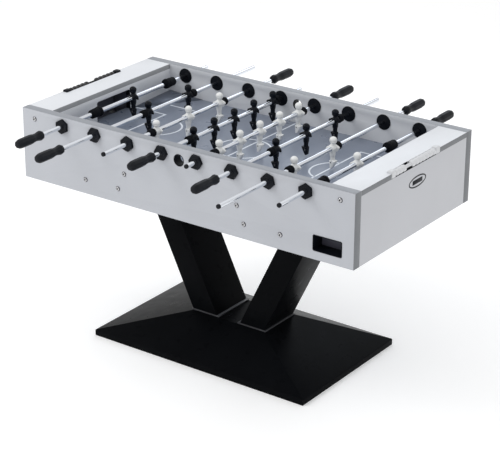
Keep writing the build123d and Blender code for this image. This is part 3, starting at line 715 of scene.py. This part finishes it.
def stops():
    """Rubber bumpers beside the men, and long stop collars on the goalkeeper rods."""
    bore = ROD_R / MM + 0.08
    for number in range(1, 9):
        low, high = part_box(f"bumpers_{number}")
        outline = COLLAR if ROD_MEN[number - 1] == 1 else BUMPER
        profile = [(0, bore), *outline, (outline[-1][0], bore)]
        bm = bmesh.new()
        for y, direction in ((low.y, 1), (high.y, -1)):
            ring = weld(ring_lathe([(s * MM, r * MM) for s, r in profile], 48))
            take(bm, ring, placed(ROD_X[number - 1], y, ROD_Z, direction))
        piece(f"stops_{number}", bm, ["rubber"], f"rod_{number}_slider", "bumper_rubber", f"bumpers_{number}")


# ================================================================ the men
MAN_HALF_WIDTH = 14 * MM
FOOT_HOLE = (2.0, -52.0)
FOOT_HOLE_R = 2.2
FORWARD_REACH = {"black": 13.5, "white": 20.0}   # how far the swung-forward hand reaches


def ellipsoid(bm, centre, radii, tilt=0):
    """Adds an egg shape; tilt leans it about Y, in degrees."""
    shape = bmesh.new()
    bmesh.ops.create_icosphere(shape, subdivisions=4, radius=1)
    move = Matrix.Translation(Vector(centre) * MM)
    lean = Matrix.Rotation(math.radians(tilt), 4, "Y")
    take(bm, shape, move @ lean @ Matrix.Diagonal((*[r * MM for r in radii], 1)))


def limb(bm, start, end, start_r, end_r):
    """Adds a tapering limb with round ends."""
    start, end = Vector(start), Vector(end)
    length = (end - start).length
    quarter = [math.pi / 2 * i / 6 for i in range(7)]
    profile = [(-start_r * math.cos(a), start_r * math.sin(a)) for a in quarter]
    profile += [(length + end_r * math.sin(a), end_r * math.cos(a)) for a in quarter]
    profile[0] = (-start_r, 0)
    profile[-1] = (length + end_r, 0)
    turn = Vector((0, 1, 0)).rotation_difference(end - start).to_matrix().to_4x4()
    take(bm, lathe([(s * MM, r * MM) for s, r in profile], 28), Matrix.Translation(start * MM) @ turn)


def loft(bm, sections, power=2.8, steps=40):
    """Adds a solid through rounded sections (x, y, z, half_x, half_y), from the lowest up."""
    shape = bmesh.new()
    rings = []
    for x, y, z, half_x, half_y in sections:
        ring = []
        for step in range(steps):
            angle = 2 * math.pi * step / steps
            c, s = math.cos(angle), math.sin(angle)
            ring.append(shape.verts.new((
                (x + half_x * math.copysign(abs(c) ** (2 / power), c)) * MM,
                (y + half_y * math.copysign(abs(s) ** (2 / power), s)) * MM, z * MM)))
        rings.append(ring)
    for first, second in zip(rings, rings[1:]):
        for step in range(steps):
            after = (step + 1) % steps
            shape.faces.new((first[step], first[after], second[after], second[step]))
    shape.faces.new(list(reversed(rings[0])))
    shape.faces.new(rings[-1])
    take(bm, shape)


def with_modifiers(mesh, build):
    """Runs modifiers that build(obj) adds, and gives the resulting mesh."""
    obj = bpy.data.objects.new("work", mesh)
    bpy.context.scene.collection.objects.link(obj)
    build(obj)
    bpy.context.view_layer.update()
    result = bpy.data.meshes.new_from_object(obj.evaluated_get(bpy.context.evaluated_depsgraph_get()))
    bpy.data.objects.remove(obj)
    bpy.data.meshes.remove(mesh)
    return result


def mesh_of(bm):
    mesh = bpy.data.meshes.new("work")
    bm.to_mesh(mesh)
    bm.free()
    return mesh


def blend_skin(obj):
    """Fuses the overlapping shapes into one smooth moulding."""
    remesh = obj.modifiers.new("fuse", "REMESH")
    remesh.mode = "VOXEL"
    remesh.voxel_size = 0.8 * MM
    smooth = obj.modifiers.new("smooth", "SMOOTH")
    smooth.factor = 0.5
    smooth.iterations = 3
    thin = obj.modifiers.new("thin", "DECIMATE")
    thin.ratio = 0.22


def moulded_man(reach):
    """One running player about its rod, facing +X: a moulded figure with a wedge foot."""
    bm = bmesh.new()
    loft(bm, [(2.6, 0, -74.2, 3.2, 8.2), (2.4, 0, -72.6, 4.4, 8.7), (-0.6, 0, -60, 8.6, 9.2),
              (-2.6, 0, -50, 11.8, 9.6), (-3.2, 0, -46.4, 12.7, 9.8), (-3.3, 0, -45.0, 12.4, 9.5),
              (-3.3, 0, -44.2, 10.8, 8.2)], 5.5)
    for y, shift in ((4.3, 0.7), (-4.3, -0.9)):
        loft(bm, [(shift - 0.6, y, -47, 5.6, 4.3), (shift - 0.3, y, -40, 5.0, 4.1), (shift, y, -32, 5.5, 4.4),
                  (shift, y, -24, 6.3, 4.9), (shift * 0.6, y, -15, 7.2, 5.4)], 2.4)
    loft(bm, [(0, 0, -28.5, 7.4, 9.6), (0, 0, -26, 8.4, 10.3), (0, 0, -18, 8.9, 10.9), (0, 0, -10, 9.6, 11.4),
              (0, 0, -2, 10.6, 12.0)], 3.0)
    hub = ((-14, 0), (-14, 9.8), (-13.4, 10.6), (-11.5, 11.6), (-7, 12.8), (0, 13.4), (7, 12.8), (11.5, 11.6),
           (13.4, 10.6), (14, 9.8), (14, 0))
    take(bm, lathe([(s * MM, r * MM) for s, r in hub], 56))
    ellipsoid(bm, (0.8, 0, 5.5), (12.6, 13.2, 9.4))
    ellipsoid(bm, (-0.4, 0, 12.0), (8.8, 11.4, 5.8))
    limb(bm, (-0.3, 0, 12), (0.2, 0, 20), 6.6, 6.0)
    ellipsoid(bm, (0.6, 0, 28.2), (12.2, 11.2, 13.0))
    ellipsoid(bm, (-0.9, 0, 30.6), (13.2, 13.2, 11.9))
    ellipsoid(bm, (-2.9, 0, 24.6), (10.6, 12.7, 9.2))
    ellipsoid(bm, (4.8, 0, 20.6), (6.6, 6.8, 4.6))
    ellipsoid(bm, (12.6, 0, 26.4), (1.7, 1.5, 2.6), 12)
    for y in (-1, 1):
        ellipsoid(bm, (10.2, y * 3.9, 30.6), (2.4, 2.5, 1.1))
    limb(bm, (-3.5, -8.6, 8.0), (-17.8, -8.8, 1.8), 5.4, 5.0)
    limb(bm, (-17.8, -8.8, 1.8), (-12.0, -9.6, -8.5), 4.9, 3.8)
    ellipsoid(bm, (-10.0, -9.4, -9.5), (4.4, 3.9, 4.2))
    limb(bm, (3.0, 8.4, 8.0), (reach - 3.5, 9.0, 1.0), 5.2, 4.4)
    limb(bm, (reach - 3.5, 9.0, 1.0), (reach, 8.8, -5.0), 4.3, 3.7)
    ellipsoid(bm, (reach, 8.6, -6.0), (4.0, 3.9, 4.0))
    mesh = with_modifiers(mesh_of(bm), blend_skin)

    cutter = bmesh.new()
    take(cutter, lathe([(s * MM, r * MM) for s, r in ((-15, 0), (-15, 8.0), (15, 8.0), (15, 0))], 48))
    hole = lathe([(s * MM, FOOT_HOLE_R * r * MM) for s, r in ((-15, 0), (-15, 1), (15, 1), (15, 0))], 20)
    take(cutter, hole, Matrix.Translation((FOOT_HOLE[0] * MM, 0, FOOT_HOLE[1] * MM)))
    tool = bpy.data.objects.new("cutter", mesh_of(cutter))
    bpy.context.scene.collection.objects.link(tool)

    def bore(obj):
        cut = obj.modifiers.new("bore", "BOOLEAN")
        cut.operation = "DIFFERENCE"
        cut.solver = "EXACT"
        cut.object = tool

    man = with_modifiers(mesh, bore)
    tool_mesh = tool.data
    bpy.data.objects.remove(tool)
    bpy.data.meshes.remove(tool_mesh)
    return man


def men():
    moulds = {team: moulded_man(reach) for team, reach in FORWARD_REACH.items()}
    for number in range(1, 9):
        low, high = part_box(f"men_{number}")
        count = ROD_MEN[number - 1]
        black = number in BLACK_RODS
        team = "black" if black else "white"
        first = low.y + MAN_HALF_WIDTH
        step = (high.y - low.y - 2 * MAN_HALF_WIDTH) / max(1, count - 1)
        bm = bmesh.new()
        for index in range(count):
            spot = placed(ROD_X[number - 1], first + step * index, ROD_Z, 1 if black else -1)
            copy = moulds[team].copy()
            copy.transform(spot)
            bm.from_mesh(copy)
            bpy.data.meshes.remove(copy)
        hole_x = ROD_X[number - 1] + (1 if black else -1) * FOOT_HOLE[0] * MM
        hole_z = ROD_Z + FOOT_HOLE[1] * MM

        # Painted shade: the faces inside the hole through the foot take a dark colour.
        def paint(centre, normal):
            return 1 if math.hypot(centre.x - hole_x, centre.z - hole_z) < FOOT_HOLE_R * MM * 1.02 else 0

        piece(f"team_{number}", bm, [f"{team}_man", "hole_painted_shade"], f"rod_{number}_spinner", f"{team}_player",
              f"men_{number}", chooser=paint, sharp=math.radians(50))
    for man in moulds.values():
        bpy.data.meshes.remove(man)


# ================================================================ base and legs
PLATEAU_HALF_W = 94.5 * MM
LEG_SLOPE = 0.484
LEG_X = (50 * MM, 160 * MM)    # inner and outer face of a leg at its foot
LEG_HALF_DEPTH = 94 * MM
FOOT_PLATE = 6 * MM
FOOT_PLATE_X = (42 * MM, 168 * MM)
HEAD_PLATE = 8 * MM
HEAD_PLATE_X = (262 * MM, 424 * MM)
HEAD_PLATE_HALF_W = 118 * MM


def base_cover():
    """Folded cover: an upright rim, four slopes and a plateau, open underneath."""
    half_l, half_w = shell_high.x, shell_high.y
    rim, top_z = 23 * MM, shell_high.z
    flat_l, flat_w = 160 * MM, PLATEAU_HALF_W
    corners = []
    for x, y, z in ((half_l, half_w, 0), (half_l, half_w, rim), (flat_l, flat_w, top_z)):
        corners += [(x, y, z), (-x, y, z), (-x, -y, z), (x, -y, z)]
    faces = [(8, 9, 10, 11), (3, 2, 1, 0)]
    for level in (0, 4):
        faces += [(level + a, level + (a + 1) % 4, level + 4 + (a + 1) % 4, level + 4 + a) for a in range(4)]
    piece("base_cover", rounded_hull(corners, faces, 1.6 * MM), ["base"], "cabinet", "black_paint",
          "base_shell")


def legs():
    """Two box-section legs that lean apart, with softly rounded long edges."""
    z_foot = shell_high.z + FOOT_PLATE
    z_head = BOTTOM_Z - HEAD_PLATE
    depth = LEG_HALF_DEPTH
    for name, side in (("right", 1), ("left", -1)):
        corners = []
        for z in (z_foot, z_head):
            lean = LEG_SLOPE * (z - shell_high.z)
            x_in, x_out = [side * (x + lean) for x in LEG_X]
            corners += [(x_in, -depth, z), (x_out, -depth, z), (x_out, depth, z), (x_in, depth, z)]
        faces = [(0, 1, 2, 3), (7, 6, 5, 4)] + [(a, (a + 1) % 4, 4 + (a + 1) % 4, 4 + a) for a in range(4)]
        piece(f"post_{name}", rounded_hull(corners, faces, 1.8 * MM), ["base"], "cabinet", "black_paint",
              f"leg_{name}")
    plates = bmesh.new()
    for side in (-1, 1):
        foot = sorted(side * x for x in FOOT_PLATE_X)
        head = sorted(side * x for x in HEAD_PLATE_X)
        take(plates, rounded_block((foot[0], -PLATEAU_HALF_W, shell_high.z),
                                   (foot[1], PLATEAU_HALF_W, z_foot), 1 * MM))
        take(plates, rounded_block((head[0], -HEAD_PLATE_HALF_W, z_head),
                                   (head[1], HEAD_PLATE_HALF_W, BOTTOM_Z), 1.2 * MM))
    piece("mounting_plates", plates, ["plate"], "cabinet", "black_paint", "leg_plates")


# ================================================================ score counters
BEAD_X = 708.4 * MM
BEAD_Z = 873.5 * MM
BEAD_LENGTH = 22.2 * MM
BEAD_TUBE_R = 6 * MM


def score_rails():
    """Racks in the notches of the end boards: a thin black sheet on the floor as painted shade, walls,
    rounded end blocks and the beads' tube.
    """
    low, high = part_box("score_rails")
    # lining is the thickness of a thin black sheet laid on the notch floor as painted shade; it also rounds
    # the walls.
    half, block, lining, wall = high.y, 27 * MM, 0.4 * MM, 1.2 * MM
    gap = (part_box("score_beads_right_front")[1].y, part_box("score_beads_right_back")[0].y)
    bm = bmesh.new()
    for side in (-1, 1):
        def bar(x_out, y0, y1, z_top, bevel):
            x0, x1 = sorted((side * NOTCH_X, side * x_out))
            take(bm, rounded_block((x0, y0, low.z), (x1, y1, z_top), bevel, 4))

        # The black sheet on the notch floor: painted shade under and between the beads.
        bar(HALF_L, -half, half, low.z + lining, lining / 4)
        for y0, y1 in ((-half, gap[0]), gap, (gap[1], half)):
            bar(NOTCH_X + wall, y0, y1, TOP_Z, lining)
        for end in (-1, 1):
            bar(high.x, *sorted((end * (half - block), end * half)), high.z, 6 * MM)
        length = 2 * (half - block) + 2 * MM
        tube = lathe([(0, 0), (0, BEAD_TUBE_R), (length, BEAD_TUBE_R), (length, 0)], 32)
        take(bm, tube, placed(side * BEAD_X, -length / 2, BEAD_Z))

    # On the right rack the wall in the gap between the rows and the floor sheet are black as painted shade;
    # the rest is white.
    def paint(centre, normal):
        shade_on_gap_wall = gap[0] < centre.y < gap[1] and centre.x < NOTCH_X + wall * 1.1
        shade_on_floor_sheet = abs(centre.y) < half - block and centre.z < low.z + lining * 1.1
        return 1 if centre.x > 0 and not (shade_on_gap_wall or shade_on_floor_sheet) else 0

    piece("counter_rails", bm, ["black_plastic", "rail_white"], "cabinet", "black_plastic", "score_rails",
          chooser=paint)


def score_beads():
    """Rows of barrel-shaped beads on the tubes."""
    half_barrel = ((0, 6.35), (0, 6.6), (1.8, 7.3), (3.4, 9.1), (5.2, 10.9), (7.4, 11.8), (10, 12))
    barrel = half_barrel + tuple((BEAD_LENGTH / MM - s, r) for s, r in reversed(half_barrel))
    for side, colour in (("left", "black_bead"), ("right", "white_bead")):
        x = BEAD_X * (1 if side == "right" else -1)
        for end in ("front", "back"):
            node = f"score_beads_{side}_{end}"
            low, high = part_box(node)
            bm = bmesh.new()
            for index in range(round((high.y - low.y) / BEAD_LENGTH)):
                bead = weld(ring_lathe([(s * MM, r * MM) for s, r in barrel], 40))
                take(bm, bead, placed(x, low.y + index * BEAD_LENGTH, BEAD_Z))
            piece(f"beads_{side}_{end}", bm, [colour], node, colour, node)


def badge():
    """A plain oval badge on the +X end: a dark ring round a short dark bar."""
    centre_y, centre_z, depth = 13 * MM, 802 * MM, 0.4 * MM
    half_y, half_z, ring, corners = 56 * MM, 21 * MM, 5 * MM, 72
    bar_y, bar_z = 32 * MM, 8 * MM
    bm = bmesh.new()
    rings = []
    for inset, out in ((0, 0), (0, depth), (ring, depth), (ring, 0)):
        angles = [2 * math.pi * step / corners for step in range(corners)]
        rings.append([bm.verts.new((HALF_L + out, centre_y + (half_y - inset) * math.cos(angle),
                                    centre_z + (half_z - inset) * math.sin(angle))) for angle in angles])
    for first, second in zip(rings, rings[1:] + rings[:1]):
        for step in range(corners):
            after = (step + 1) % corners
            bm.faces.new((first[step], first[after], second[after], second[step]))
    take(bm, rounded_block((HALF_L, centre_y - bar_y, centre_z - bar_z),
                           (HALF_L + depth, centre_y + bar_y, centre_z + bar_z), depth / 4))
    piece("badge", bm, ["black_plastic"], "cabinet", "black_plastic")


# ================================================================ CAD nodes that stay in sight
CARRIED = {
    "goal_boxes": "goal_plastic", "ball_chutes": "goal_plastic", "leg_beams": "board",
    "battens_and_cleats": "board", "bottom_panel": "laminate", "frame_bolts": "zinc", "base_plate": "base",
}


def finish_carried_nodes():
    for node, key in CARRIED.items():
        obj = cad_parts[node]
        obj.data.materials.clear()
        obj.data.materials.append(MATERIALS[key])
        softening = obj.modifiers.new("softened edges", "BEVEL")
        softening.width = 0.5 * MM
        softening.segments = 2
        softening.limit_method = "ANGLE"
        softening.harden_normals = True


# ================================================================ floor, light and camera
def stage_material():
    material, tree, shader, where = node_material("pale_floor")
    tone = remap(tree, noise_at(tree, where, 0.7), 0.3, 0.7, 0, 1)
    colours = mix_colours(tree, tone, (0.955, 0.955, 0.955), (0.975, 0.975, 0.975))
    tree.links.new(colours, shader.inputs["Base Color"])
    shader.inputs["Roughness"].default_value = 0.6
    shader.inputs["Emission Color"].default_value = (1.0, 1.0, 1.0, 1.0)
    shader.inputs["Emission Strength"].default_value = 0.17
    return material


def area_light(name, spot, target, size, power, colour=(1.0, 1.0, 1.0)):
    light = bpy.data.lights.new(name, "AREA")
    light.color = colour
    light.shape = "RECTANGLE"
    light.size, light.size_y = size
    light.energy = power
    obj = bpy.data.objects.new(name, light)
    obj.location = spot
    obj.rotation_euler = (Vector(target) - Vector(spot)).to_track_quat("-Z", "Y").to_euler()
    bpy.context.scene.collection.objects.link(obj)


def studio():
    bm = bmesh.new()
    bmesh.ops.create_grid(bm, x_segments=1, y_segments=1, size=40)
    mesh = mesh_of(bm)
    mesh.materials.append(stage_material())
    floor = bpy.data.objects.new("floor", mesh)
    bpy.context.scene.collection.objects.link(floor)

    world = bpy.data.worlds.new("studio")
    world.use_nodes = True
    sky = world.node_tree.nodes["Background"]
    sky.inputs["Color"].default_value = (1.0, 1.0, 1.0, 1.0)
    sky.inputs["Strength"].default_value = 0.80
    bpy.context.scene.world = world

    area_light("key", (-2.6, -2.6, 4.2), (0, 0, 0.6), (2.4, 2.4), 68)
    area_light("fill", (3.4, -1.2, 3.4), (-0.6, 0, 0.85), (2.0, 2.0), 10)
    area_light("ceiling", (0, 0.4, 5.2), (0, 0, 0.7), (6.0, 5.0), 14)
    area_light("back", (-0.9, 2.7, 2.2), (0.3, 0, 0.1), (2.2, 1.2), 9, (0.78, 0.88, 1.0))


CAMERA_SPOT = (3.560, -4.9164, 3.0266)
CAMERA_AZIMUTH = math.radians(35.681)
CAMERA_ELEVATION = math.radians(22.865)
CAMERA_ROLL = math.radians(0.224)
CAMERA_LENS = 129.85


def camera():
    data = bpy.data.cameras.new("camera")
    data.lens = CAMERA_LENS
    data.sensor_width = 36
    data.clip_end = 100
    azimuth, elevation = CAMERA_AZIMUTH, CAMERA_ELEVATION
    back = Vector((math.sin(azimuth) * math.cos(elevation), -math.cos(azimuth) * math.cos(elevation),
                   math.sin(elevation)))
    right = Vector((0, 0, 1)).cross(back).normalized()
    up = back.cross(right)
    turned_right = right * math.cos(CAMERA_ROLL) + up * math.sin(CAMERA_ROLL)
    turned_up = up * math.cos(CAMERA_ROLL) - right * math.sin(CAMERA_ROLL)
    turn = Matrix((turned_right, turned_up, back)).transposed().to_4x4()
    obj = bpy.data.objects.new("camera", data)
    obj.matrix_world = Matrix.Translation(CAMERA_SPOT) @ turn
    bpy.context.scene.collection.objects.link(obj)
    bpy.context.scene.camera = obj
    bpy.context.scene.view_settings.view_transform = "Standard"


side_panels()
end_panels()
end_boards()
goal_walls()
playfield()
field_lines()
panel_screws()
ball_hole_liners()
bearings()
return_cups()
rods()
grips()
stops()
men()
base_cover()
legs()
score_rails()
score_beads()
badge()
finish_carried_nodes()
studio()
camera()
